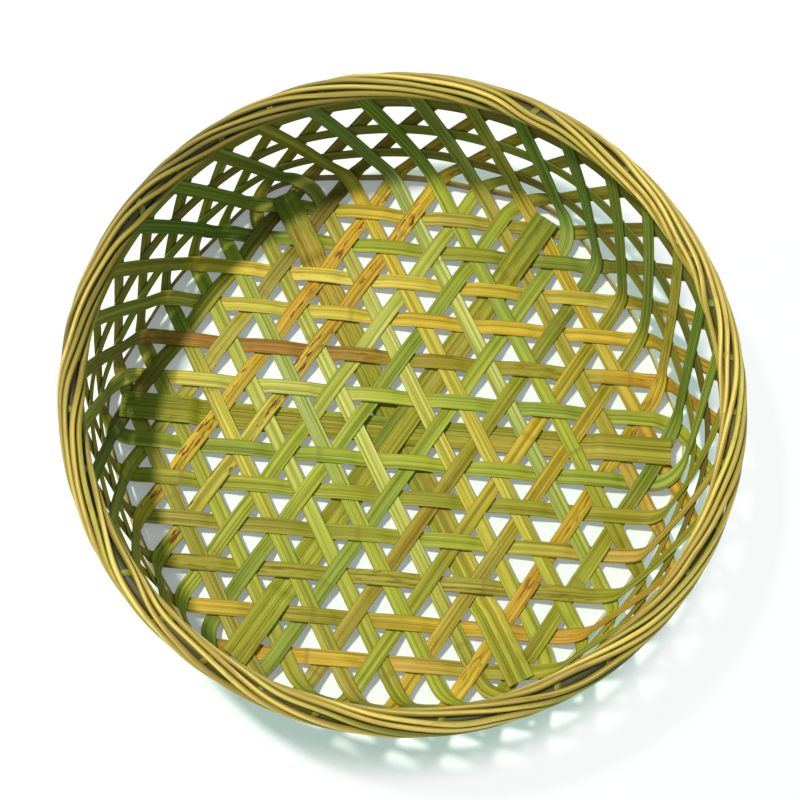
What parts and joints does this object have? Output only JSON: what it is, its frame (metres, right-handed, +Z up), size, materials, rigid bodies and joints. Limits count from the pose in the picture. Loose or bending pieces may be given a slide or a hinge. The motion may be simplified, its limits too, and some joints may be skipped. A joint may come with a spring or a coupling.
{
  "type": "woven bamboo basket",
  "caption": "Round, shallow, open-weave bamboo basket with a flat three-way woven base, an open wall, a rope-laid rim and a foot hoop.",
  "frame": {"origin": "on the floor, under the middle of the base", "axes": "+Z up; +X along the across strips, towards the right of the picture"},
  "size_m": [0.3, 0.3, 0.0894],
  "materials": {
    "strip_across": "satin",
    "strip_left": "satin",
    "strip_right": "satin",
    "splint": "satin",
    "weaver": "satin",
    "rim": "satin",
    "core": "matte",
    "hoop": "satin"
  },
  "bodies": {
    "root": {"strip_across_01": "strip_across", "strip_across_02": "strip_across", "strip_across_03": "strip_across", "strip_across_04": "strip_across", "strip_across_05": "strip_across", "strip_across_06": "strip_across", "strip_across_07": "strip_across", "strip_across_08": "strip_across", "strip_across_09": "strip_across", "strip_across_10": "strip_across", "strip_across_11": "strip_across", "strip_across_12": "strip_across", "strip_left_01": "strip_left", "strip_left_02": "strip_left", "strip_left_03": "strip_left", "strip_left_04": "strip_left", "strip_left_05": "strip_left", "strip_left_06": "strip_left", "strip_left_07": "strip_left", "strip_left_08": "strip_left", "strip_left_09": "strip_left", "strip_left_10": "strip_left", "strip_left_11": "strip_left", "strip_left_12": "strip_left", "strip_right_01": "strip_right", "strip_right_02": "strip_right", "strip_right_03": "strip_right", "strip_right_04": "strip_right", "strip_right_05": "strip_right", "strip_right_06": "strip_right", "strip_right_07": "strip_right", "strip_right_08": "strip_right", "strip_right_09": "strip_right", "strip_right_10": "strip_right", "strip_right_11": "strip_right", "strip_right_12": "strip_right", "splint_across": "splint", "splint_across_mate": "splint", "splint_left": "splint", "splint_left_mate": "splint", "splint_right": "splint", "splint_right_mate": "splint", "wall_weaver_lower": "weaver", "wall_weaver_upper": "weaver", "rim_weaver": "weaver", "rim_strand_01": "rim", "rim_strand_02": "rim", "rim_strand_03": "rim", "rim_strand_04": "rim", "rim_strand_05": "rim", "rim_strand_06": "rim", "rim_strand_07": "rim", "rim_strand_08": "rim", "rim_strand_09": "rim", "rim_core": "core", "foot_hoop": "hoop"}
  },
  "joints": []
}
